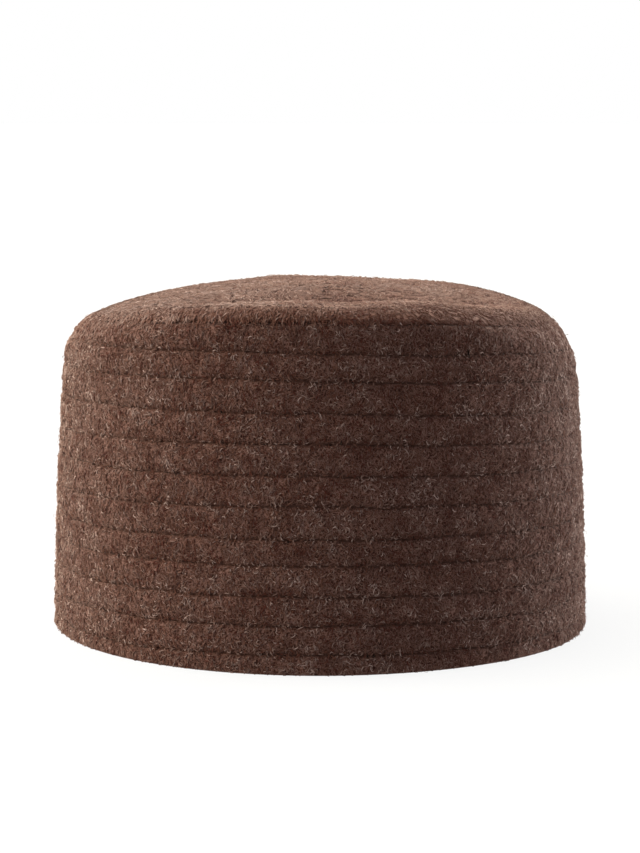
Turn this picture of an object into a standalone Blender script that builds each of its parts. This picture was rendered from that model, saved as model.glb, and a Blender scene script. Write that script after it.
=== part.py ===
"""A brimless oval hat of boiled wool, stitched round in level rows, with a softly dented flat top.

Metres, +Z up. The origin is the middle of the hem's plane, and the front of the hat faces -Y.
The tables below hold millimetres, which each ring of points turns into metres as it is placed.
"""

from collections import namedtuple
from math import asin, cos, degrees, exp, pi, sin

import bmesh
import bpy

MM = 0.001

# The wall's outline: a 58 cm head size, longer from front to back than across
HALF_WIDTH = 91.7
EXTRA_DEPTH = 8.0
LEAN = 0.0137
BOW = 0.00036

# Thickness of the quilted wall, of its edge at the crown seam, and of the top
WALL_THICK = 3.6
SEAM_THICK = 3.0
TIP_THICK = 3.0

# Sizes that change round the hat are given at its front, right, back and left, as its front is looked at
Around = namedtuple("Around", "front right back left")
EDGE_HEIGHT = Around(front=114.5, right=107.8, back=113.2, left=106.8)
EDGE_DEEP = Around(front=6.5, right=14.6, back=11.5, left=13.8)
EDGE_TALL = Around(front=6.5, right=23.4, back=11.5, left=16.0)
EDGE_DROP = 2.8

# The top edge is a little twisted, higher at the front left and the back right, and uneven
TWIST = 0.45
Dip = namedtuple("Dip", "degrees reach depth")
EDGE_DIPS = [
    Dip(degrees=69, reach=15, depth=1.0),
    Dip(degrees=102, reach=8, depth=-0.7),
    Dip(degrees=275, reach=7, depth=0.6),
    Dip(degrees=304, reach=14, depth=-0.5),
]

# At its front right the hat stands out a little more, and its edge turns over later but further in
FULLER = Dip(degrees=325, reach=25, depth=1.6)
EDGE_EASED = Dip(degrees=305, reach=20, depth=14.0)
EDGE_LATE = Dip(degrees=305, reach=20, depth=5.0)

# Lines of stitching from the crown seam down, and how far each one pulls the cloth in
Row = namedtuple("Row", "height pull")
ROWS = [
    Row(Around(109.4, 103.7, 107.0, 105.6), 0.7),
    Row(Around(99.9, 95.4, 98.6, 98.5), 0.7),
    Row(Around(91.4, 86.1, 90.4, 89.4), 0.8),
    Row(Around(81.3, 76.0, 80.6, 79.4), 0.9),
    Row(Around(71.9, 66.5, 71.4, 68.4), 0.9),
    Row(Around(62.0, 57.7, 61.8, 59.2), 0.9),
    Row(Around(52.5, 48.5, 52.4, 49.0), 1.0),
    Row(Around(42.4, 39.2, 42.4, 39.7), 1.0),
    Row(Around(34.2, 30.9, 34.0, 31.4), 1.0),
    Row(Around(24.4, 21.5, 24.2, 22.2), 1.0),
    Row(Around(15.4, 12.9, 15.2, 12.5), 1.0),
    Row(Around(6.2, 4.1, 6.1, 3.6), 1.0),
]

# The cloth between two lines: how far down from the upper line, and how far it lies under the fullest point
Puff = namedtuple("Puff", "down inset")
PUFFS = [Puff(0.22, 0.0), Puff(0.75, 0.35)]
HEM_PUFF = 0.35

# The hem's corners, with a flat ring between them that the hat stands on
Corner = namedtuple("Corner", "height inset")
HEM = [Corner(0.6, 0.2), Corner(0.0, 0.9), Corner(0.0, 2.9), Corner(0.8, WALL_THICK)]

# Rings of the wall's plain inner face, as parts of the way up to the second line of stitching
INNER_STEPS = [0.28, 0.55, 0.8]

# Dents in the top: middle, reach across and along, and depth
Dent = namedtuple("Dent", "x y across along depth")
DENTS = [
    Dent(x=-50, y=-48, across=25, along=15, depth=7.5),
    Dent(x=-20, y=-41, across=24, along=16, depth=7.0),
    Dent(x=12, y=-30, across=26, along=19, depth=8.0),
    Dent(x=38, y=-20, across=20, along=16, depth=3.0),
]
CENTRE_HEIGHT = 115.0

# Rings of the crown tip: parts of the way up the turned edge, then scales of the top's outline
EDGE_STEPS = [0.0, 0.16, 0.4, 0.7, 1.0]
INNER_EDGE_STEPS = [1.0, 0.5, 0.0]
TOP_STEPS = [0.93, 0.84, 0.71, 0.55, 0.37, 0.18]

SEAM_GAP = 0.3
SIDES = 60

# Linear colour of the wool
WOOL = (0.08, 0.043, 0.033, 1.0)


def round_the_hat(sizes, angle, drop=2.0):
    """One of the sizes that change round the hat, in any direction. A larger drop keeps to the sides more."""
    across = abs(cos(angle)) ** drop
    end = sizes.front if sin(angle) < 0 else sizes.back
    side = (sizes.right + sizes.left) / 2
    lean = (sizes.right - sizes.left) / 2
    return side * across + end * (1 - across) + lean * cos(angle)


def dip(sizes, angle):
    """How deep a dip is in a direction."""
    away = (degrees(angle) - sizes.degrees + 180) % 360 - 180
    return sizes.depth * exp(-((away / sizes.reach) ** 2))


def edge_height(angle):
    """The height of the top edge."""
    level = round_the_hat(EDGE_HEIGHT, angle, EDGE_DROP)
    return level + TWIST * sin(2 * angle) - sum(dip(sizes, angle) for sizes in EDGE_DIPS)


def edge_deep(angle):
    """How far the turned edge reaches in over the top."""
    return round_the_hat(EDGE_DEEP, angle) + dip(EDGE_EASED, angle)


def edge_tall(angle):
    """How far under its top the turned edge starts."""
    return round_the_hat(EDGE_TALL, angle) - dip(EDGE_LATE, angle)


def wall(height):
    """Half the hat's width at a height, leaning in more towards the top."""
    return HALF_WIDTH - LEAN * height - BOW * height**2


def place(reach, height, angle):
    """A point in metres, from its distance to the hat's upright middle line across the hat."""
    reach += dip(FULLER, angle)
    return (reach * cos(angle) * MM, (reach + EXTRA_DEPTH) * sin(angle) * MM, height * MM)


def edge_turn(height, angle):
    """How far the rounded top edge has turned over at a height: 0 upright, pi / 2 level."""
    tall = edge_tall(angle)
    start = edge_height(angle) - tall
    return asin(min(1.0, max(0.0, (height - start) / tall)))


def edge_point(turn, inset, angle):
    """A point of the rounded top edge, a quarter of an oval, a little way under its outer face."""
    deep, tall = edge_deep(angle), edge_tall(angle)
    start = edge_height(angle) - tall
    height = start + (tall - inset) * sin(turn)
    reach = wall(start + tall * sin(turn)) - deep + (deep - inset) * cos(turn)
    return place(reach, height, angle)


def wall_point(height, inset, angle):
    """A point of the wall, or of the rounded edge where the height reaches it."""
    turn = edge_turn(height, angle)
    if turn > 0:
        return edge_point(turn, inset, angle)
    return place(wall(height) - inset, height, angle)


def seam_turn(angle, side):
    """Where the crown seam lies on the rounded edge, half the gap above it or below it."""
    half_gap = SEAM_GAP / 2 / (edge_deep(angle) - SEAM_THICK)
    return edge_turn(round_the_hat(ROWS[0].height, angle), angle) + side * half_gap


def top_point(scale, inset, angle):
    """A point of the top, from the rounded edge at scale 1 to the middle at 0."""
    edge = edge_height(angle)
    reach = scale * (wall(edge) - edge_deep(angle) + dip(FULLER, angle))
    x = reach * cos(angle)
    y = (reach + scale * EXTRA_DEPTH) * sin(angle)
    dents = sum(d.depth * exp(-(((x - d.x) / d.across) ** 2) - ((y - d.y) / d.along) ** 2) for d in DENTS)
    height = CENTRE_HEIGHT + (edge - CENTRE_HEIGHT) * scale**2 - dents * (1 - scale**6) - inset
    return (x * MM, y * MM, height * MM)


def ring(point):
    """One round of points, from a function that gives the point in each direction."""
    return [point(2 * pi * k / SIDES) for k in range(SIDES)]


def cloth(name, rings, closed):
    """A solid lofted through rings: a tube that closes on itself, or a cap whose two ends are filled."""
    bm = bmesh.new()
    first = bmesh.ops.create_circle(bm, segments=SIDES, radius=1)["verts"]
    edges = bm.edges[:]
    loops = [edges]
    for vert, spot in zip(first, rings[0]):
        vert.co = spot
    for spots in rings[1:]:
        out = bmesh.ops.extrude_edge_only(bm, edges=edges)["geom"]
        verts = [g for g in out if isinstance(g, bmesh.types.BMVert)]
        edges = [g for g in out if isinstance(g, bmesh.types.BMEdge)]
        loops.append(edges)
        for vert, spot in zip(verts, spots):
            vert.co = spot
    if closed:
        bmesh.ops.bridge_loops(bm, edges=loops[0] + loops[-1])
    else:
        for rim in (loops[0], loops[-1]):
            middle = bmesh.ops.contextual_create(bm, geom=rim)["faces"]
            bmesh.ops.poke(bm, faces=middle)
    bmesh.ops.recalc_face_normals(bm, faces=bm.faces)
    mesh = bpy.data.meshes.new(name)
    bm.to_mesh(mesh)
    bm.free()
    mesh.shade_smooth()
    solid = bpy.data.objects.new(name, mesh)
    bpy.context.scene.collection.objects.link(solid)
    return solid


def brushed_wool(name):
    """Dark brown boiled wool: matt, with a dry nap."""
    material = bpy.data.materials.new(name)
    material.use_nodes = True
    shader = material.node_tree.nodes["Principled BSDF"]
    shader.inputs["Base Color"].default_value = WOOL
    shader.inputs["Roughness"].default_value = 0.95
    shader.inputs["Metallic"].default_value = 0.0
    return material


def row_height(index, down, angle):
    """The height of a stitched line, or part of the way from it to the next line or the hem."""
    upper = round_the_hat(ROWS[index].height, angle)
    lower = round_the_hat(ROWS[index + 1].height, angle) if index + 1 < len(ROWS) else 0.0
    return upper + (lower - upper) * down


def side_band():
    """The wall: down its stitched outside, under the hem, and up its plain inside."""
    rings = [ring(lambda a: edge_point(seam_turn(a, -1), ROWS[0].pull, a))]
    for index, row in enumerate(ROWS):
        if index > 0:
            rings.append(ring(lambda a: wall_point(row_height(index, 0, a), row.pull, a)))
        if index + 1 < len(ROWS):
            for puff in PUFFS:
                rings.append(ring(lambda a: wall_point(row_height(index, puff.down, a), puff.inset, a)))
        else:
            rings.append(ring(lambda a: wall_point(row_height(index, HEM_PUFF, a), 0.0, a)))
    for corner in HEM:
        rings.append(ring(lambda a: wall_point(corner.height, corner.inset, a)))
    for step in INNER_STEPS:
        rings.append(ring(lambda a: wall_point(step * row_height(1, 0, a), WALL_THICK, a)))
    rings.append(ring(lambda a: wall_point(row_height(1, 0, a), WALL_THICK, a)))
    rings.append(ring(lambda a: edge_point(seam_turn(a, -1), SEAM_THICK, a)))
    return cloth("side_band", rings, closed=True)


def crown_tip():
    """The top: up its turned edge, across to the middle, and back underneath."""
    seam_pull = ROWS[0].pull

    def edge_ring(step, inset):
        return ring(lambda a: edge_point(seam_turn(a, 1) + (pi / 2 - seam_turn(a, 1)) * step, inset, a))

    outer = [edge_ring(step, seam_pull if step == 0 else 0.0) for step in EDGE_STEPS]
    outer += [ring(lambda a: top_point(step, 0.0, a)) for step in TOP_STEPS]
    inner = [edge_ring(step, TIP_THICK) for step in reversed(INNER_EDGE_STEPS)]
    inner += [ring(lambda a: top_point(step, TIP_THICK, a)) for step in TOP_STEPS]
    return cloth("crown_tip", inner[::-1] + outer, closed=False)


for old in list(bpy.data.objects):
    bpy.data.objects.remove(old)

for piece in (side_band(), crown_tip()):
    piece.data.materials.append(brushed_wool(piece.name + "_wool"))
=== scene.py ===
"""The looks of a brimless wool hat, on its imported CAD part: cloth, stitching, nap, light and camera.

Metres, +Z up, the front of the hat at -Y, and its right and left as its front is looked at. Sizes and tables
hold millimetres, which turn into metres as the points are placed. Those in metres say so, or end in MM.
"""

from collections import namedtuple
from math import pi, radians

import bmesh
import bpy
import numpy as np
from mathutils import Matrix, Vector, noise


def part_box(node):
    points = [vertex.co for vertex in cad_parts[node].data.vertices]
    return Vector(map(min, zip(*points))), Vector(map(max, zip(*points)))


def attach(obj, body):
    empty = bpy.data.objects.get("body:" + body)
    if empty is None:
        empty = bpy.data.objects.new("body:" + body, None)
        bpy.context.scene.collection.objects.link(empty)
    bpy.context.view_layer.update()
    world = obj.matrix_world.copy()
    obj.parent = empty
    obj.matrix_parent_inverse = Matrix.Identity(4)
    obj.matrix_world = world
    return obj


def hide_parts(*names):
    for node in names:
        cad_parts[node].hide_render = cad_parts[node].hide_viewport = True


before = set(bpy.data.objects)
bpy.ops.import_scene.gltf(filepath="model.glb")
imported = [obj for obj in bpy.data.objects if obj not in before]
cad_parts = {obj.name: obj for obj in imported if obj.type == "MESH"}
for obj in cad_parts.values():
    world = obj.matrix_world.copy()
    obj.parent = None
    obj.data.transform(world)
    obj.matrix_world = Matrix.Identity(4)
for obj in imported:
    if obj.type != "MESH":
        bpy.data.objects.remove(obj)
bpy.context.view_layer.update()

# SIDE BAND
# The straight wall of the hat: a strip of thick boiled wool, doubled and closed in a ring, then sewn round in
# twelve level rows. Each row pulls the cloth in, so that it stands out between two rows, most just under one.

MM = 0.001
Around = namedtuple("Around", "front right back left")
Row = namedtuple("Row", "height pull")
Dip = namedtuple("Dip", "degrees reach depth")

NAP_STANDS = 0.45  # the part's outer faces are the nap's, and the cloth lies this far under them
band_low, band_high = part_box("side_band")
HALF_WIDTH = -band_low[0] / MM - NAP_STANDS
EXTRA_DEPTH = (band_low[0] - band_low[1]) / MM
FULLER = Dip(degrees=325, reach=25, depth=1.6)  # the hat stands out more there, at the front right
LEAN, BOW = 0.0137, 0.00036
WALL_THICK, SEAM_THICK = 3.6 - NAP_STANDS, 3.0 - NAP_STANDS
EDGE_HEIGHT = Around(front=114.5, right=107.8, back=113.2, left=106.8)
EDGE_DEEP = Around(front=6.5, right=14.6, back=11.5, left=13.8)
EDGE_TALL = Around(front=6.5, right=23.4, back=11.5, left=16.0)
EDGE_DROP, TWIST = 2.8, 0.45
EDGE_EASED = Dip(degrees=305, reach=20, depth=14.0)  # and its edge reaches further in, more softly
EDGE_LATE = Dip(degrees=305, reach=20, depth=5.0)  # but only starts to turn over near the crown seam
EDGE_DIPS = [
    Dip(degrees=69, reach=15, depth=1.0),
    Dip(degrees=102, reach=8, depth=-0.7),
    Dip(degrees=275, reach=7, depth=0.6),
    Dip(degrees=304, reach=14, depth=-0.5),
]
# The lines of stitching from the crown seam down, and how far each one pulls in the cloth, besides DROOP
ROWS = [
    Row(Around(109.4, 103.7, 107.0, 105.6), 0.5),
    Row(Around(99.9, 95.4, 98.6, 98.5), 0.7),
    Row(Around(91.4, 86.1, 90.4, 89.4), 0.8),
    Row(Around(81.3, 76.0, 80.6, 79.4), 0.8),
    Row(Around(71.9, 66.5, 71.4, 68.4), 0.8),
    Row(Around(62.0, 57.7, 61.8, 59.2), 0.8),
    Row(Around(52.5, 48.5, 52.4, 49.0), 0.8),
    Row(Around(42.4, 39.2, 42.4, 39.7), 0.8),
    Row(Around(34.2, 30.9, 34.0, 31.4), 0.8),
    Row(Around(24.4, 21.5, 24.2, 22.2), 0.8),
    Row(Around(15.4, 12.9, 15.2, 12.5), 0.8),
    Row(Around(6.2, 4.1, 6.1, 3.6), 0.8),
]

STITCHES = 168  # in each row, 3.5 mm from hole to hole
SIDES = 2 * STITCHES  # one point at each needle hole and one between
SEAM_GAP = 0.3

# A line of stitching wanders in waves, each with its number round the hat, by this much
LINE_WAVES, WANDER, LINE_SEED = (6, 13, 29), 0.13, 11
ON_LINE = 1e-6  # what lies this near under a line is on it

# The cloth's relief: how far it falls back from one line to the next, how far a line's pull reaches, the
# dimple at each needle hole, and the puckers between two lines
DROOP, GROOVE = 0.25, 0.8
DIMPLE, DIMPLE_REACH = 0.15, 1.2
PUCKER, PUCKER_WAVES, PUCKER_SEED = 0.15, (37, 53, 71, 90), 5
SLANT = (0.4, 1.3)  # how steeply waves may climb the wall

# Rings of points: parts of the way down between two lines, and below the last one, then the hem's turn in
# degrees, its size, and the same inside
DOWN_STEPS = (0.0, 0.035, 0.08, 0.15, 0.26, 0.42, 0.6, 0.78, 0.89, 0.955)
HEM_STEPS = (0.0, 0.08, 0.2, 0.38, 0.58)
HEM_TURNS, HEM_ROUND, HEM_DEPTH = (0, 22, 45, 68, 90), 0.6, 0.4
INNER_HEM_TURNS, INNER_HEM_ROUND, INNER_HEM_DEPTH = (90, 50, 0), 1.2, 0.9
INNER_DOWN_STEPS, INNER_PULL = (0.0, 0.5), 0.35

line_phase = np.random.default_rng(LINE_SEED).uniform(0, 2 * pi, (len(ROWS), len(LINE_WAVES)))


def round_the_hat(sizes, angle, drop=2.0):
    """A size that changes round the hat, in any direction. A larger drop leaves the sides a narrower share."""
    across = np.abs(np.cos(angle)) ** drop
    end = np.where(np.sin(angle) < 0, sizes.front, sizes.back)
    side, lean = (sizes.right + sizes.left) / 2, (sizes.right - sizes.left) / 2
    return side * across + end * (1 - across) + lean * np.cos(angle)


def ripple(angle, height, waves, seed):
    """A smooth pattern from about -1 to 1 on the wall, made of waves of these numbers round the hat."""
    rng = np.random.default_rng(seed)
    total = 0.0
    for count in waves:
        rise = rng.choice((-1, 1)) * count / HALF_WIDTH * rng.uniform(*SLANT)
        total = total + np.sin(count * angle + rise * height + rng.uniform(0, 2 * pi))
    return total / len(waves) ** 0.5


def dip(sizes, angle):
    """How deep a dip is in a direction."""
    away = (np.degrees(angle) - sizes.degrees + 180) % 360 - 180
    return sizes.depth * np.exp(-((away / sizes.reach) ** 2))


def line_height(index, angle):
    """The height of a line of stitching, which wanders a little. The last index is the hem."""
    if index == len(ROWS):
        return np.zeros_like(angle)
    wander = sum(np.sin(k * angle + line_phase[index, n]) for n, k in enumerate(LINE_WAVES))
    return round_the_hat(ROWS[index].height, angle) + WANDER * wander


def edge_height(angle):
    """The height of the top edge, a little twisted and uneven."""
    level = round_the_hat(EDGE_HEIGHT, angle, EDGE_DROP) - NAP_STANDS
    return level + TWIST * np.sin(2 * angle) - sum(dip(sizes, angle) for sizes in EDGE_DIPS)


def edge_deep(angle):
    """How far the turned edge reaches in over the top."""
    return round_the_hat(EDGE_DEEP, angle) + dip(EDGE_EASED, angle)


def edge_tall(angle):
    """How far under its top the edge starts to turn over."""
    return round_the_hat(EDGE_TALL, angle) - dip(EDGE_LATE, angle)


def wall(height):
    """Half the hat's width at a height."""
    return HALF_WIDTH - LEAN * height - BOW * height**2


def place(reach, height, angle):
    """Points in metres, from their distance to the hat's upright middle line across the hat."""
    reach = reach + dip(FULLER, angle)
    y = (reach + EXTRA_DEPTH) * np.sin(angle)
    return np.stack([reach * np.cos(angle), y, height + 0 * angle], -1) * MM


def edge_turn(height, angle):
    """How far the rounded top edge has turned over at a height: 0 upright, pi / 2 level."""
    tall = edge_tall(angle)
    return np.arcsin(np.clip((height - edge_height(angle) + tall) / tall, 0, 1))


def edge_point(turn, inset, angle):
    """A point of the rounded top edge, a quarter of an oval, a little way under its outer face."""
    deep, tall = edge_deep(angle), edge_tall(angle)
    start = edge_height(angle) - tall
    reach = wall(start + tall * np.sin(turn)) - deep + (deep - inset) * np.cos(turn)
    return place(reach, start + (tall - inset) * np.sin(turn), angle)


def wall_point(height, inset, angle):
    """A point of the wall, or of the rounded edge where the height reaches it."""
    turn = edge_turn(height, angle)
    return np.where(
        (turn > 0)[:, None], edge_point(turn, inset, angle), place(wall(height) - inset, height, angle)
    )


def lines_at(height, angle):
    """The line of stitching over each place on the wall, its height, and that of the next line or the hem."""
    lines = np.stack([line_height(index, angle) for index in range(len(ROWS) + 1)])
    row = np.clip((lines > height + ON_LINE).sum(0) - 1, 0, len(ROWS) - 1)
    upper = np.take_along_axis(lines, row[None], 0)[0]
    lower = np.take_along_axis(lines, row[None] + 1, 0)[0]
    return row, upper, lower


def cloth_inset(angle, height):
    """How far the wall's face lies under its fullest point, and from 0 to 1 how deep in a groove it is."""
    row, upper, lower = lines_at(height, angle)
    sewn_under = row < len(ROWS) - 1  # elsewhere the hem lies under it, which nothing pulls in
    pulls = np.array([line.pull for line in ROWS] + [0.0])
    under = np.maximum(upper - height, 0)
    over = np.where(sewn_under, np.maximum(height - lower, 0), np.inf)
    near_upper, near_lower = np.exp(-under / GROOVE), np.exp(-over / GROOVE)
    near_line = np.exp(-np.minimum(under, over) / DIMPLE_REACH)
    deep = (pulls[row] + DROOP) * near_upper + pulls[row + 1] * near_lower
    deep += DROOP * sewn_under * (under / (upper - lower)) ** 2
    deep += DIMPLE * near_line * np.cos(STITCHES * angle)
    deep += PUCKER * ripple(angle, height, PUCKER_WAVES, PUCKER_SEED) * (1 - near_line)
    return deep, np.maximum(near_upper, near_lower)


def cloth(name, rings, closed):
    """A closed skin through rings of points, each with how deep in a groove they are: a tube, or a cap."""
    bm = bmesh.new()
    sunk = bm.verts.layers.float.new("sunk")
    verts = bmesh.ops.create_circle(bm, segments=SIDES, radius=1)["verts"]
    edges = bm.edges[:]
    loops = [edges]
    for step, (spots, depths) in enumerate(rings):
        if step > 0:
            out = bmesh.ops.extrude_edge_only(bm, edges=edges)["geom"]
            verts = [part for part in out if isinstance(part, bmesh.types.BMVert)]
            edges = [part for part in out if isinstance(part, bmesh.types.BMEdge)]
            loops.append(edges)
        for vert, spot, depth in zip(verts, spots, depths):
            vert.co = spot
            vert[sunk] = depth
    if closed:
        bmesh.ops.bridge_loops(bm, edges=loops[0] + loops[-1])
    else:
        for rim in (loops[0], loops[-1]):
            middle = bmesh.ops.contextual_create(bm, geom=rim)["faces"]
            bmesh.ops.poke(bm, faces=middle)
    bmesh.ops.recalc_face_normals(bm, faces=bm.faces)
    mesh = bpy.data.meshes.new(name)
    bm.to_mesh(mesh)
    bm.free()
    mesh.shade_smooth()
    piece = bpy.data.objects.new(name, mesh)
    bpy.context.scene.collection.objects.link(piece)
    return piece


around = np.arange(SIDES) * 2 * pi / SIDES
PLAIN = np.zeros(SIDES)


def seam_turn(side):
    """Where the crown seam lies on the rounded edge, half the gap above it or below it."""
    half_gap = SEAM_GAP / 2 / (edge_deep(around) - SEAM_THICK)
    return edge_turn(line_height(0, around), around) + side * half_gap


def wall_ring(height, inset=None):
    """A ring of points on the stitched face, or this far under its fullest point, and how sunk they are."""
    if inset is None:
        inset, sunk = cloth_inset(around, height)
        return wall_point(height, inset, around), sunk
    return wall_point(height, inset, around), PLAIN


def between(index, down):
    """Part of the way down from one line of stitching to the next, or to the hem."""
    upper, lower = line_height(index, around), line_height(index + 1, around)
    return upper + (lower - upper) * down


# the rings at the crown seam are fully sunk, so they take the full painted shade
band_rings = [(edge_point(seam_turn(-1), ROWS[0].pull + DROOP, around), PLAIN + 1)]
for index in range(len(ROWS)):
    for down in HEM_STEPS if index == len(ROWS) - 1 else DOWN_STEPS:
        if index > 0 or down > 0:
            band_rings.append(wall_ring(between(index, down)))
for turn in np.radians(HEM_TURNS):
    band_rings.append(wall_ring(PLAIN + HEM_ROUND * (1 - np.sin(turn)), HEM_DEPTH * (1 - np.cos(turn))))
for turn in np.radians(INNER_HEM_TURNS):
    inset = WALL_THICK - INNER_HEM_DEPTH * (1 - np.cos(turn))
    band_rings.append(wall_ring(PLAIN + INNER_HEM_ROUND * (1 - np.sin(turn)), inset))
for index in reversed(range(1, len(ROWS) - 1)):
    for down in reversed(INNER_DOWN_STEPS):
        band_rings.append(wall_ring(between(index, down), WALL_THICK - INNER_PULL * (down == 0)))
band_rings.append((edge_point(seam_turn(-1), SEAM_THICK, around), PLAIN + 1))
side_band = cloth("side_band_wool", band_rings, closed=True)


def linear(code):
    """An sRGB hex colour as linear red, green, blue and alpha."""
    srgb = [int(code[k : k + 2], 16) / 255 for k in (1, 3, 5)]
    return [c / 12.92 if c <= 0.04045 else ((c + 0.055) / 1.055) ** 2.4 for c in srgb] + [1.0]


def add(tree, kind, inputs=None, **settings):
    """Adds a node with its settings, and with each socket set to a value or linked to a node's output."""
    made = tree.nodes.new(kind)
    for name, value in settings.items():
        setattr(made, name, value)
    for socket, value in (inputs or {}).items():
        if isinstance(value, bpy.types.NodeSocket):
            tree.links.new(value, made.inputs[socket])
        else:
            made.inputs[socket].default_value = value
    return made


def ramp(tree, factor, stops):
    """A colour ramp over a factor, from (place, hex colour) stops."""
    made = add(tree, "ShaderNodeValToRGB", {"Fac": factor})
    band = made.color_ramp
    while len(band.elements) < len(stops):
        band.elements.new(1.0)
    for element, (at, code) in zip(band.elements, stops):
        element.position = at
        element.color = linear(code)
    return made.outputs["Color"]


# Boiled wool: felted and matt, of dark, mid and pale fibres mixed before spinning. The nap lies over it, so
# what shows here is the ground between its strands: curled fibres, drawn as thin bands along the contours of
# a noise. They are drawn 0.3 mm wide, ten times as wide as real ones, so that they show.
CURL_SIZES = (1.3 * MM, 0.9 * MM)
FIBRE_BAND = 0.05  # half a fibre's width, in the noise's own range
FIBRE_HEIGHT = 0.3 * MM
MOTTLE = 7 * MM
# the first colour is painted shade, which the cloth darkens to in the grooves and at the crown seam
GROOVE_PAINTED_SHADE, WARM_SHEEN = "#2a160e", "#e8cfc1"


def boiled_wool(name, dark, mid, pale, relief):
    """Boiled wool: curled fibres of three shades, mottled, with painted shade where the cloth is sunk in a
    groove.
    """
    material = bpy.data.materials.new(name)
    material.use_nodes = True
    tree = material.node_tree
    shader = tree.nodes["Principled BSDF"]
    where = add(tree, "ShaderNodeTexCoord").outputs["Object"]
    layers = []
    for size in CURL_SIZES:
        curls = {"Vector": where, "Scale": 1 / size, "Detail": 1.0, "Distortion": 0.8}
        contour = add(tree, "ShaderNodeTexNoise", curls).outputs["Fac"]
        stops = [(0.5 - 2 * FIBRE_BAND, dark), (0.5 - FIBRE_BAND, mid), (0.5, pale)]
        stops += [(0.5 + FIBRE_BAND, mid), (0.5 + 2 * FIBRE_BAND, dark)]
        layers.append(ramp(tree, contour, stops))
    tangle = {"Factor": 1.0, 6: layers[0], 7: layers[1]}
    heather = add(tree, "ShaderNodeMix", tangle, data_type="RGBA", blend_type="LIGHTEN").outputs[2]
    mottle = add(tree, "ShaderNodeTexNoise", {"Vector": where, "Scale": 1 / MOTTLE, "Detail": 3.0})
    warm = ramp(tree, mottle.outputs["Fac"], [(0.3, "#c9b9b4"), (0.5, "#e6dad6"), (0.7, "#fff3ee")])
    blend = {"Factor": 0.8, 6: heather, 7: warm}
    mottled = add(tree, "ShaderNodeMix", blend, data_type="RGBA", blend_type="MULTIPLY").outputs[2]
    # painted shade: the colour darkens towards a deep brown the deeper the cloth lies in a groove
    sunk = add(tree, "ShaderNodeAttribute", attribute_name="sunk").outputs["Fac"]
    depth = add(tree, "ShaderNodeMath", {0: sunk, 1: 1.5}, operation="POWER").outputs[0]
    painted_groove_shade = {"Factor": depth, 6: mottled, 7: linear(GROOVE_PAINTED_SHADE)}
    shaded = add(tree, "ShaderNodeMix", painted_groove_shade, data_type="RGBA")
    raised = {"Strength": relief, "Distance": FIBRE_HEIGHT, "Height": heather}
    bump = add(tree, "ShaderNodeBump", raised)
    tree.links.new(shaded.outputs[2], shader.inputs["Base Color"])
    tree.links.new(bump.outputs["Normal"], shader.inputs["Normal"])
    shader.inputs["Roughness"].default_value = 0.95
    shader.inputs["Specular IOR Level"].default_value = 0.1
    shader.inputs["Sheen Weight"].default_value = 0.12
    shader.inputs["Sheen Roughness"].default_value = 0.4
    shader.inputs["Sheen Tint"].default_value = linear(WARM_SHEEN)
    return material


side_band.data.materials.append(boiled_wool("boiled_wool_band", "#261109", "#3d261c", "#5d4842", 0.8))
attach(side_band, "root")
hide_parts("side_band")

# CROWN TIP
# The oval top: one piece of the same wool, eased over the hat's upper edge and sewn down to the first row.
# It has sagged into a soft hollow behind its front edge, more on the wearer's right.

Dent = namedtuple("Dent", "x y across along depth")
DENTS = [
    Dent(x=-50, y=-48, across=25, along=15, depth=7.5),
    Dent(x=-20, y=-41, across=24, along=16, depth=7.0),
    Dent(x=12, y=-30, across=26, along=19, depth=8.0),
    Dent(x=38, y=-20, across=20, along=16, depth=3.0),
]
CENTRE_HEIGHT = 115.0
TIP_THICK = 3.0 - NAP_STANDS
EDGE_STEPS = np.array((0.0, 0.02, 0.05, 0.1, 0.17, 0.26, 0.36, 0.46, 0.56, 0.66, 0.75, 0.83, 0.9, 0.96))
TOP_STEPS = (1.0, 0.985, 0.965, 0.94, 0.91, 0.88, 0.84, 0.8, 0.75)
TOP_STEPS += (0.7, 0.64, 0.58, 0.51, 0.44, 0.36, 0.28, 0.2, 0.12)
INNER_TOP_STEPS = (1.0, 0.9, 0.75, 0.55, 0.35, 0.15)
UNDULATION = 0.25  # the height of the top's own soft waves, besides its dents
WAVE_ACROSS, WAVE_ALONG, WAVE_ASLANT = 9, 7, 13  # millimetres in one radian of each wave


def edge_span(angle):
    """The turned edge from the crown seam up to the level top: the turn it starts at, and its length."""
    deep, tall = edge_deep(angle), edge_tall(angle)
    start = edge_turn(line_height(0, angle), angle) + SEAM_GAP / 2 / (deep - SEAM_THICK)
    return start, (deep + tall) / 2 * (pi / 2 - start)


def top_reach(angle):
    """Half the width of the level top."""
    return wall(edge_height(angle)) - edge_deep(angle) + dip(FULLER, angle)


def sag(x, y):
    """How far the top has sagged at a place, in millimetres."""
    return sum(d.depth * np.exp(-(((x - d.x) / d.across) ** 2) - ((y - d.y) / d.along) ** 2) for d in DENTS)


def top_point(scale, lift, angle):
    """A point of the top, from the rounded edge at scale 1 to the middle at 0."""
    reach = scale * top_reach(angle)
    x, y = reach * np.cos(angle), (reach + scale * EXTRA_DEPTH) * np.sin(angle)
    waves = np.sin(x / WAVE_ACROSS + 1) * np.sin(y / WAVE_ALONG) + np.sin((x + y) / WAVE_ASLANT + 2)
    relief = (UNDULATION * waves - sag(x, y)) * (1 - scale**6)
    middle = CENTRE_HEIGHT - NAP_STANDS
    height = middle + (edge_height(angle) - middle) * scale**2 + relief + lift
    return np.stack([x, y, height], -1) * MM


def turned_point(part, lift, angle):
    """A point of the turned edge, part of the way from the seam to the top."""
    start, length = edge_span(angle)
    groove = (ROWS[0].pull + DROOP) * np.exp(-part * length / GROOVE)
    return edge_point(start + (pi / 2 - start) * part, groove - lift, angle)


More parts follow.
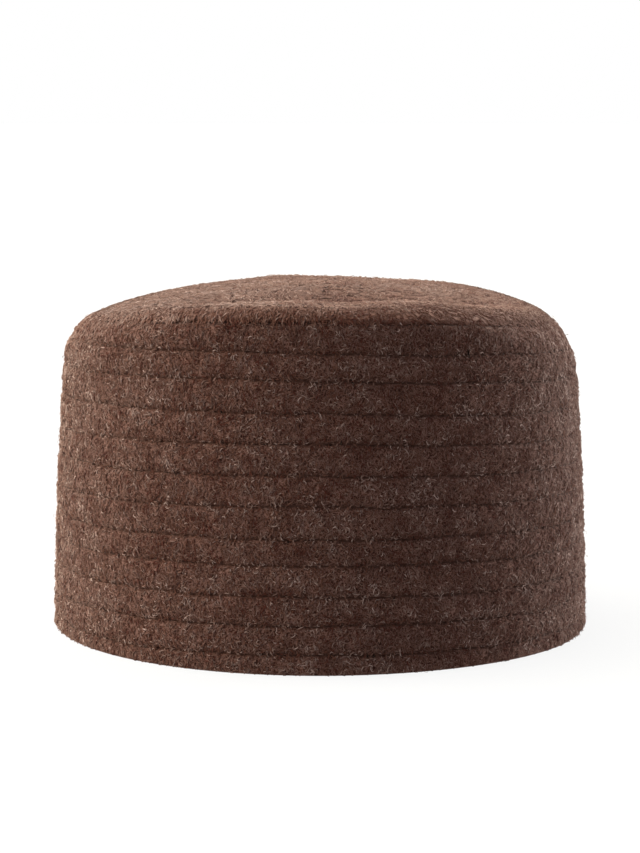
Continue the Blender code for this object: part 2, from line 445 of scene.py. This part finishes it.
def seam_ring(part, inset=None):
    """A ring of points part of the way up the turned edge, or this far under it, and how sunk they are."""
    if inset is None:
        sunk = np.exp(-part * edge_span(around)[1] / GROOVE)
        return turned_point(PLAIN + part, PLAIN, around), sunk
    start = edge_span(around)[0]
    return edge_point(start + (pi / 2 - start) * part, inset, around), PLAIN


tip_rings = [seam_ring(part) for part in EDGE_STEPS]
tip_rings += [(top_point(PLAIN + scale, PLAIN, around), PLAIN) for scale in TOP_STEPS]
inner_rings = [seam_ring(part, TIP_THICK) for part in (0.0, 0.5)]
inner_rings += [(top_point(PLAIN + scale, PLAIN - TIP_THICK, around), PLAIN) for scale in INNER_TOP_STEPS]
crown_tip = cloth("crown_tip_wool", inner_rings[::-1] + tip_rings, closed=False)
crown_tip.data.materials.append(boiled_wool("boiled_wool_tip", "#381f14", "#432c22", "#56413a", 0.4))
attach(crown_tip, "root")
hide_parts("crown_tip")

# STITCHING
# The thread of the twelve rows: dark brown polyester, in long stitches that have sunk into the wool. Each one
# shows for about 3 mm between two needle holes, and dips into the cloth at both ends.

THREAD_THICK = 0.45
THREAD_LOW = 0.05  # how far under its line the thread lies
STITCH_PART = 0.8  # of the way from hole to hole that shows
STITCH_STATIONS = np.array((-1.0, -0.6, 0.6, 1.0))  # parts of a stitch's half length, from its middle
STITCH_LIFTS = np.array((-0.4, 0.05, 0.05, -0.4))
FOUR_ROUND = np.arange(4) * pi / 2  # directions of the points round a ring of thread
PLY = 0.8 * MM  # how far one ply shows before the other crosses it


def joined(name, points, faces, material):
    """One mesh of many like closed shapes, from arrays of points and of triangles."""
    mesh = bpy.data.meshes.new(name)
    mesh.from_pydata(points.reshape(-1, 3), [], faces.reshape(-1, 3))
    mesh.materials.append(material)
    piece = bpy.data.objects.new(name, mesh)
    bpy.context.scene.collection.objects.link(piece)
    return piece


def spindle_faces(rings, sides):
    """The triangles of a closed spindle: a root, rings of points, and a tip."""
    last = 1 + rings * sides
    faces = []
    for k in range(sides):
        after = (k + 1) % sides
        faces.append((0, 1 + k, 1 + after))
        faces.append((last, last - sides + after, last - sides + k))
        for ring in range(rings - 1):
            near, far = 1 + ring * sides, 1 + (ring + 1) * sides
            faces.append((near + k, far + k, far + after))
            faces.append((near + k, far + after, near + after))
    return np.array(faces)


def spindles(stations, outward, radii, directions):
    """Points of many spindles, from each one's root, ring middles and tip. radii holds its rings' sizes."""
    ahead = stations[:, 2:] - stations[:, :-2]
    ahead /= np.linalg.norm(ahead, axis=-1, keepdims=True)
    side = np.cross(ahead, outward[:, 1:-1])
    side /= np.linalg.norm(side, axis=-1, keepdims=True)
    up = np.cross(side, ahead)
    spread = np.cos(directions)[:, None] * side[:, :, None] + np.sin(directions)[:, None] * up[:, :, None]
    rings = stations[:, 1:-1, None] + spread * radii[:, :, None, None]
    count = len(stations)
    return np.concatenate([stations[:, :1], rings.reshape(count, -1, 3), stations[:, -1:]], 1)


def repeated(faces, count, points):
    """The same triangles for each of many like shapes with this many points."""
    return faces[None] + np.arange(count)[:, None, None] * points


def seen_from(surface, angle, height, lift, free=0.0):
    """Points on a surface, and the way outwards there."""
    here = surface(angle, height, lift, free)
    out = surface(angle, height, lift + 1, free) - here
    return here, out / np.linalg.norm(out, axis=-1, keepdims=True)


BRIDGING = 0.6  # of a groove's depth, where something free crosses it


def on_wall(angle, height, lift, free=0.0):
    """Points of the wall's stitched face, lifted off it, and more over a groove if they are free."""
    shape = np.shape(angle)
    angle, height, lift, free = (np.ravel(np.broadcast_to(x, shape)) for x in (angle, height, lift, free))
    inset = cloth_inset(angle, height)[0]
    return wall_point(height, inset * (1 - BRIDGING * free) - lift, angle).reshape(*shape, 3)


def rows_of_stitches():
    """Points of all the stitches: each dips into the wool at both ends."""
    hole = np.arange(STITCHES) * 2 * pi / STITCHES
    angle = (hole + pi / STITCHES)[:, None] + STITCH_STATIONS * STITCH_PART * pi / STITCHES
    middles, ways = [], []
    for index in range(len(ROWS)):
        height = line_height(index, angle.ravel()).reshape(angle.shape) - THREAD_LOW
        spots, out = seen_from(on_wall, angle, height, STITCH_LIFTS + 0 * angle)
        middles.append(spots)
        ways.append(out)
    middles, ways = np.concatenate(middles), np.concatenate(ways)
    radii = THREAD_THICK / 2 * MM * np.ones((len(middles), 2))
    return spindles(middles, ways, radii, FOUR_ROUND)


def sewing_thread():
    """Polyester thread: two plies twisted together, dark, with a faint shine."""
    material = bpy.data.materials.new("polyester_thread")
    material.use_nodes = True
    tree = material.node_tree
    shader = tree.nodes["Principled BSDF"]
    where = add(tree, "ShaderNodeTexCoord").outputs["Object"]
    ply = add(tree, "ShaderNodeTexNoise", {"Vector": where, "Scale": 1 / PLY, "Detail": 1.0})
    colour = ramp(tree, ply.outputs["Fac"], [(0.35, "#26140c"), (0.65, "#3a231a")])
    tree.links.new(colour, shader.inputs["Base Color"])
    shader.inputs["Roughness"].default_value = 0.8
    shader.inputs["Specular IOR Level"].default_value = 0.15
    return material


stitch_points = rows_of_stitches()
stitch_faces = repeated(spindle_faces(2, len(FOUR_ROUND)), len(stitch_points), stitch_points.shape[1])
stitching = joined("row_stitching", stitch_points, stitch_faces, sewing_thread())
stitching.data.shade_smooth()
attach(stitching, "root")

# NAP
# The brushed surface of the wool: fibres raised by wire brushes, which lie down and curl over the cloth, with
# loose hairs among them. A real fibre is 0.03 mm thick, so each strand here stands for several together.

# A strand's form: its triangles, its rings of points between root and tip, and their directions round it
Strand = namedtuple("Strand", "faces rings directions")
BOTH_SIDES = np.array((0.0, pi))
THREE_ROUND = np.arange(3) * 2 * pi / 3 + pi / 2
WISP = Strand(np.array(((0, 1, 2), (1, 3, 2), (0, 3, 1), (0, 2, 3))), 1, BOTH_SIDES)  # straight
CROOK = Strand(spindle_faces(1, 3), 1, THREE_ROUND)  # bent once
CURL = Strand(spindle_faces(2, 3), 2, THREE_ROUND)  # bent twice
FLOOR_GAP = 0.02 * MM  # what reaches the floor lies flat on it
NAP_SHADES = 32  # strips of the nap's colour map
NAP_STOPS = [
    (0.0, "#321209"),
    (0.3, "#41281e"),
    (0.55, "#4f3931"),
    (0.75, "#5c4942"),
    (0.92, "#6a5750"),
    (1.0, "#7b6861"),
]

# A kind of strand: how many, their length and width, how far they bend round and how much they stray from
# straight down, in radians, how high they stand, the part of them that may cross a seam, their shade, and how
# far it varies
Kind = namedtuple("Kind", "strand count long wide bend stray stand free shade mix")
WALL_KINDS = [
    Kind(WISP, 12000, 1.7, 0.36, 0.1, 0.8, 0.16, 0.3, 0.28, 0.15),
    Kind(CROOK, 8000, 1.7, 0.30, 1.5, 1.1, 0.20, 0.4, 0.46, 0.19),
    Kind(CURL, 5400, 2.0, 0.28, 2.6, 1.3, 0.26, 0.4, 0.60, 0.17),
    Kind(CURL, 200, 2.4, 0.13, 1.8, 1.2, 0.70, 1.0, 0.50, 0.10),
]
EDGE_KINDS = [Kind(WISP, 12000, 2.3, 0.36, 0.1, 0.5, 0.20, 0.8, 0.38, 0.12)]
TOP_KINDS = [
    Kind(WISP, 12000, 2.2, 0.36, 0.1, pi, 0.10, 1.0, 0.36, 0.09),
    Kind(CROOK, 4000, 2.2, 0.30, 1.3, pi, 0.20, 1.0, 0.39, 0.10),
    Kind(CURL, 3600, 2.6, 0.26, 2.0, pi, 0.30, 1.0, 0.48, 0.12),
]
SEAM_COVER = 0.4  # how far the nap of the turned edge lies on below the crown seam
SAG_PAINTED_SHADE = 0.035  # painted shade in the hollow: how much darker the nap is made for each millimetre that the top has sagged
PRESSED_AND_SHADED = Dip(degrees=300, reach=25, depth=0.15)  # the nap lies close there, and is darkened there by painted shade
RAISED_AND_LIT = Dip(degrees=215, reach=30, depth=0.09)  # and stands up more there, and is made paler there by painted light

# How much strands vary: the spreads of their lengths, widths and other sizes, and how high a tip may rise
LENGTHS_VARY, WIDTHS_VARY, SIZES_VARY, TIP_RISES = 0.3, 0.25, 0.4, 1.2
ROOT_SUNK, STRAND_LIFT = 0.15, 0.1  # how far a root lies in the cloth, and a flat strand's middle over it
ROUNDNESS = 0.5  # how far the normals lean out at a strand's sides

# Fibres that stand out of the mix: the part of them, and how much darker or paler they are
Odd = namedtuple("Odd", "part shade")
DARK_ODD, PALE_ODD = Odd(0.16, -0.20), Odd(0.12, 0.19)


def wool_nap():
    """Mixed wool fibres: each strand has one shade of the mix, with painted shade at its root, where it dips
    into the cloth.
    """
    material = bpy.data.materials.new("brushed_wool_nap")
    material.use_nodes = True
    tree = material.node_tree
    shader = tree.nodes["Principled BSDF"]
    chart = add(tree, "ShaderNodeUVMap", uv_map="OFBake").outputs["UV"]
    parts = add(tree, "ShaderNodeSeparateXYZ", {"Vector": chart})
    shade = ramp(tree, parts.outputs["Y"], NAP_STOPS)
    # painted shade: the colour darkens towards each strand's root
    root = ramp(tree, parts.outputs["X"], [(0.0, "#bd9e91"), (0.35, "#ffffff")])
    mixed = {"Factor": 1.0, 6: shade, 7: root}
    colour = add(tree, "ShaderNodeMix", mixed, data_type="RGBA", blend_type="MULTIPLY")
    tree.links.new(colour.outputs[2], shader.inputs["Base Color"])
    shader.inputs["Roughness"].default_value = 0.95
    shader.inputs["Specular IOR Level"].default_value = 0.15
    shader.inputs["Sheen Weight"].default_value = 0.12
    shader.inputs["Sheen Roughness"].default_value = 0.4
    shader.inputs["Sheen Tint"].default_value = linear(WARM_SHEEN)
    return material


nap_wool = wool_nap()


def nap(name, bundles):
    """One mesh of strands. A bundle is a kind of strand, the points and normals of each, and its shade.

    The normals are the cloth's own, rounded a little over each strand, so that the nap is softly lit. On the
    colour map, a strand lies along the strip of its shade, from its root at 0 to its tip at 1.
    """
    points, normals, faces, charts, before = [], [], [], [], 0
    for strand, spots, out, shades in bundles:
        count, per = spots.shape[:2]
        rings, sides = strand.rings, len(strand.directions)
        along = (0.0, *np.repeat(np.arange(1, rings + 1) / (rings + 1), sides), 1.0)
        across = np.array((0.5, *[*np.linspace(0.2, 0.8, sides)] * rings, 0.5))
        points.append(spots.reshape(-1, 3))
        normals.append(out.reshape(-1, 3))
        faces.append(repeated(strand.faces, count, per).reshape(-1, 3) + before)
        strip = np.clip((shades * NAP_SHADES).astype(int), 0, NAP_SHADES - 1)
        up = (strip[:, None] + across) / NAP_SHADES
        charts.append(np.stack([np.broadcast_to(along, up.shape), up], -1).reshape(-1, 2))
        before += count * per
    faces = np.concatenate(faces)
    points = np.concatenate(points)
    points[:, 2] = np.maximum(points[:, 2], FLOOR_GAP)
    piece = joined(name, points, faces, nap_wool)
    piece.data.shade_smooth()
    soft = piece.data.attributes.new("custom_normal", "FLOAT_VECTOR", "POINT")
    soft.data.foreach_set("vector", np.concatenate(normals).ravel())
    chart = piece.data.uv_layers.new(name="OFBake")
    chart.data.foreach_set("uv", np.concatenate(charts)[faces.ravel()].ravel())
    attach(piece, "root")
    return piece


def uneven(rng, count, middle, spread):
    """Sizes about a middle one, none under half of it or over twice."""
    return middle * np.clip(rng.lognormal(0, spread, count), 0.5, 2.0)


def strewn(kind, surface, rng, angle, up, local, sway, free, limits):
    """Points and normals of strands that bend as they lie on a surface: root, sides of the rings, and tip.

    sway is the way that each lies, 0 straight down. local is the radius that turns a length round the hat
    into an angle, and limits are the lowest and highest places that each may reach.
    """
    count = kind.count
    length = uneven(rng, count, kind.long, LENGTHS_VARY)[:, None]
    width = uneven(rng, count, kind.wide, WIDTHS_VARY)
    bend = (rng.choice((-1, 1), count) * uneven(rng, count, kind.bend, SIZES_VARY))[:, None]
    stand = uneven(rng, count, kind.stand, SIZES_VARY)
    rings, directions = kind.strand.rings, kind.strand.directions
    part = np.linspace(-0.5, 0.5, rings + 2)
    ahead = length * np.sin(bend * part) / bend
    aside = length * (np.cos(bend / 3) - np.cos(bend * part)) / bend
    sway = sway[:, None]
    down = ahead * np.cos(sway) - aside * np.sin(sway)
    across = ahead * np.sin(sway) + aside * np.cos(sway)
    ups = np.clip(up[:, None] - down, limits[0][:, None], limits[1][:, None])
    tip = stand * rng.uniform(0, TIP_RISES, count)
    lifts = np.stack([0 * stand - ROOT_SUNK, *[stand + STRAND_LIFT] * rings, tip], 1)
    spots, out = seen_from(surface, angle[:, None] + across / local[:, None], ups, lifts, free[:, None])
    radii = width[:, None] / 2 * MM * np.ones(rings)
    points = spindles(spots, out, radii, directions)
    sides = points[:, 1:-1].reshape(count, rings, len(directions), 3) - spots[:, 1:-1, None]
    rounded = out[:, 1:-1, None] + ROUNDNESS * sides / radii[:, :, None, None]
    normals = np.concatenate([out[:, :1], rounded.reshape(count, -1, 3), out[:, -1:]], 1)
    return points, normals / np.linalg.norm(normals, axis=-1, keepdims=True)


def tufts(spots, patterns):
    """Paler and darker tufts: the sum of noises at points, each with its size and its strength."""
    total = np.zeros(len(spots))
    for size, strength in patterns:
        total += [strength * noise.noise(spot) for spot in spots / (size * MM)]
    return total


def heathered(rng, count, middle, spread):
    """Shades of strands, from 0 dark to 1 pale: near the middle shade, with some dark and some pale ones."""
    draw = rng.uniform(0, 1, count)
    pale = np.where(draw > 1 - PALE_ODD.part, PALE_ODD.shade, 0.0)
    odd = np.where(draw < DARK_ODD.part, DARK_ODD.shade, pale)
    return middle + odd + rng.normal(0, spread, count)


# Tufts on the wall, the turned edge and the top: the size and strength of each noise
WALL_TUFTS = ((2.6, 0.38), (7.0, 0.34), (23.0, 0.15))
EDGE_TUFTS = ((2.6, 0.34), (7.0, 0.15))
TOP_TUFTS = ((6.0, 0.2), (15.0, 0.3))

OVER_LINE, UNDER_LINE = 0.4, 1.1  # how far the wall's nap may stop short of a line of stitching
OVER_FLOOR = 0.1
SWAY, SWAY_WAVES, SWAY_SEED = 0.4, (19, 33, 57, 83), 21  # how the brush's strokes turn, in radians
WALL_SEED, TIP_SEED = 100, 200
QUARTERS = {"front": -pi / 2, "right": 0.0, "back": pi / 2, "left": pi}


def wall_nap(side, middle, seed):
    """A quarter of the wall's nap. Most strands lie between two lines of stitching, and some cross one."""
    rng = np.random.default_rng(seed)
    bundles = []
    for kind in WALL_KINDS:
        count = kind.count
        angle = middle + rng.uniform(-pi / 4, pi / 4, count)
        top = line_height(0, angle)
        height = rng.uniform(0, 1, count) * top
        upper, lower = lines_at(height, angle)[1:]
        free, margin = rng.uniform(0, 1, count) < kind.free, rng.uniform(0, 1, count)
        lowest = np.where(free, OVER_FLOOR, lower + OVER_LINE * margin)
        highest = np.where(free, top, upper - UNDER_LINE * margin)
        sway = SWAY * ripple(angle, height, SWAY_WAVES, SWAY_SEED) + rng.normal(0, kind.stray, count)
        local = HALF_WIDTH + 0 * angle
        spots, out = strewn(kind, on_wall, rng, angle, height, local, sway, free, (lowest, highest))
        shade = kind.shade + tufts(spots[:, 0], WALL_TUFTS)
        bundles.append((kind.strand, spots, out, heathered(rng, count, shade, kind.mix)))
    return nap(f"band_nap_{side}", bundles)


for seed, (side, middle) in enumerate(QUARTERS.items()):
    wall_nap(side, middle, WALL_SEED + seed)

MIDDLE_REACH = 4.0  # nearer to the top's middle than this, strands lie as if they were this far from it
FREE_BELOW = 2.5  # how far below the crown seam a free strand of the tip may reach
RAGGED = (-0.3, 0.6)  # where the other strands stop, on both sides of the seam
PRESSED_FREE = 2.0  # how far pressing the nap lowers the part of its strands that is free


def on_tip(angle, up, lift, free=0.0):
    """Points of the crown tip, by the way up its cloth from the seam, or of the wall if that is under 0."""
    shape = np.shape(angle)
    angle, up, lift, free = (np.ravel(np.broadcast_to(x, shape)) for x in (angle, up, lift, free))
    lift = lift + BRIDGING * free * (ROWS[0].pull + DROOP) * np.exp(-np.abs(up) / GROOVE)
    length = edge_span(angle)[1]
    scale = np.clip(1 - (up - length) / top_reach(angle), 0.0, 1)
    edge = turned_point(np.clip(up / length, 0, 1), lift, angle)
    under = on_wall(angle, line_height(0, angle) + np.minimum(up, 0), lift)
    spots = np.where((up < length)[:, None], edge, top_point(scale, lift, angle))
    return np.where((up < 0)[:, None], under, spots).reshape(*shape, 3)


def tip_nap():
    """The crown tip's nap: brushed down over the turned edge, and every way on the top."""
    rng = np.random.default_rng(TIP_SEED)
    bundles = []
    for index, kind in enumerate(EDGE_KINDS + TOP_KINDS):
        count, on_edge = kind.count, index < len(EDGE_KINDS)
        angle = rng.uniform(-pi, pi, count)
        length, reach = edge_span(angle)[1], top_reach(angle)
        part = rng.uniform(0, 1, count)
        up = part * (length + SEAM_COVER) - SEAM_COVER if on_edge else length + (1 - np.sqrt(part)) * reach
        sway = rng.normal(0, kind.stray, count) if on_edge else rng.uniform(-pi, pi, count)
        local = np.maximum(reach * (1 if on_edge else np.sqrt(part)), MIDDLE_REACH)
        # how the nap lies, which sets how many strands are free, and also painted shade on the strands'
        # colour, which is painted light where it is below 0
        pressed_and_shaded = dip(PRESSED_AND_SHADED, angle) - dip(RAISED_AND_LIT, angle)
        free = rng.uniform(0, 1, count) < kind.free - PRESSED_FREE * pressed_and_shaded
        limits = np.where(free, -FREE_BELOW, rng.uniform(*RAGGED, count)), length + reach
        spots, out = strewn(kind, on_tip, rng, angle, up, local, sway, free, limits)
        if on_edge:
            shade = kind.shade + tufts(spots[:, 0], EDGE_TUFTS)
        else:
            x, y = local * np.cos(angle), (local + EXTRA_DEPTH * np.sqrt(part)) * np.sin(angle)
            # painted shade: the top's nap is darker where the top has sagged
            shade = kind.shade - SAG_PAINTED_SHADE * sag(x, y) + tufts(spots[:, 0], TOP_TUFTS)
        # painted shade at the front right and painted light at the front left
        bundles.append((kind.strand, spots, out, heathered(rng, count, shade - pressed_and_shaded, kind.mix)))
    return nap("tip_nap", bundles)


tip_nap()

# FLOOR AND LIGHT
# A pale sheet, lit from below so that it hardly shows a shadow. Broad, far lamps stand to both sides of the
# hat, mostly behind it, and above it. Little light comes from the front.

FLOOR_REACH = 30  # metres
FLOOR_PAINT, FLOOR_GLOW = "#404040", 0.85
floor_mesh = bpy.data.meshes.new("floor")
floor_shape = bmesh.new()
bmesh.ops.create_grid(floor_shape, x_segments=1, y_segments=1, size=FLOOR_REACH)
floor_shape.to_mesh(floor_mesh)
floor_shape.free()
floor = bpy.data.objects.new("floor", floor_mesh)
bpy.context.scene.collection.objects.link(floor)
floor_paint = bpy.data.materials.new("pale_floor_paint")
floor_paint.use_nodes = True
floor_shader = floor_paint.node_tree.nodes["Principled BSDF"]
floor_shader.inputs["Base Color"].default_value = linear(FLOOR_PAINT)
floor_shader.inputs["Roughness"].default_value = 0.9
floor_shader.inputs["Specular IOR Level"].default_value = 0.0
floor_shader.inputs["Emission Color"].default_value = (1, 1, 1, 1)
floor_shader.inputs["Emission Strength"].default_value = FLOOR_GLOW
floor_mesh.materials.append(floor_paint)

Lamp = namedtuple("Lamp", "name azimuth elevation spread strength colour")  # the three angles in degrees
WARM, WARMER, COOL = "#fffcf0", "#fff8e7", "#eef4ff"
LAMPS = [
    Lamp("lamp_left", 270, 15, 60, 7.6, WARMER),
    Lamp("lamp_left_front", 300, 15, 60, 0.7, WARMER),
    Lamp("lamp_left_back", 240, 20, 60, 7.1, WARMER),
    Lamp("lamp_left_high", 270, 50, 60, 2.9, WARM),
    Lamp("lamp_back_high", 180, 60, 60, 5.9, WARM),
    Lamp("lamp_front_high", 0, 45, 70, 1.9, COOL),
    Lamp("lamp_right_back", 115, 8, 40, 10.0, "#fffcf8"),
]


def soft_lamp(lamp):
    """A broad, far lamp. Azimuth 0 stands before the hat, 90 on its right and 180 behind it."""
    light = bpy.data.lights.new(lamp.name, "SUN")
    light.energy = lamp.strength
    light.color = linear(lamp.colour)[:3]
    light.angle = radians(lamp.spread)
    made = bpy.data.objects.new(lamp.name, light)
    made.rotation_euler = (radians(90 - lamp.elevation), 0, radians(lamp.azimuth))
    bpy.context.scene.collection.objects.link(made)


for lamp in LAMPS:
    soft_lamp(lamp)

world = bpy.data.worlds.new("pale_studio")
world.use_nodes = True
world.node_tree.nodes["Background"].inputs["Color"].default_value = (1, 1, 1, 1)
world.node_tree.nodes["Background"].inputs["Strength"].default_value = 1.0
world.cycles_visibility.diffuse = False
world.cycles_visibility.glossy = False
bpy.context.scene.world = world
bpy.context.scene.view_settings.view_transform = "Standard"

# CAMERA
# It stands before the hat and looks down on it a little, as in the photograph. Its lens gives the hat the
# photograph's size in a frame as high as the photograph's.

PHOTO_HIGH = 853
FOCAL_PIXELS = 2628.3
SENSOR = 36.0
EYE = (0.0002, -0.9, 0.17472)  # metres
LOOKS_DOWN = 6.88  # degrees
camera = bpy.data.cameras.new("camera")
camera.sensor_width = SENSOR
camera.lens = FOCAL_PIXELS * SENSOR / PHOTO_HIGH
eye = bpy.data.objects.new("camera", camera)
eye.location = EYE
eye.rotation_euler = (radians(90 - LOOKS_DOWN), 0, 0)
bpy.context.scene.collection.objects.link(eye)
bpy.context.scene.camera = eye
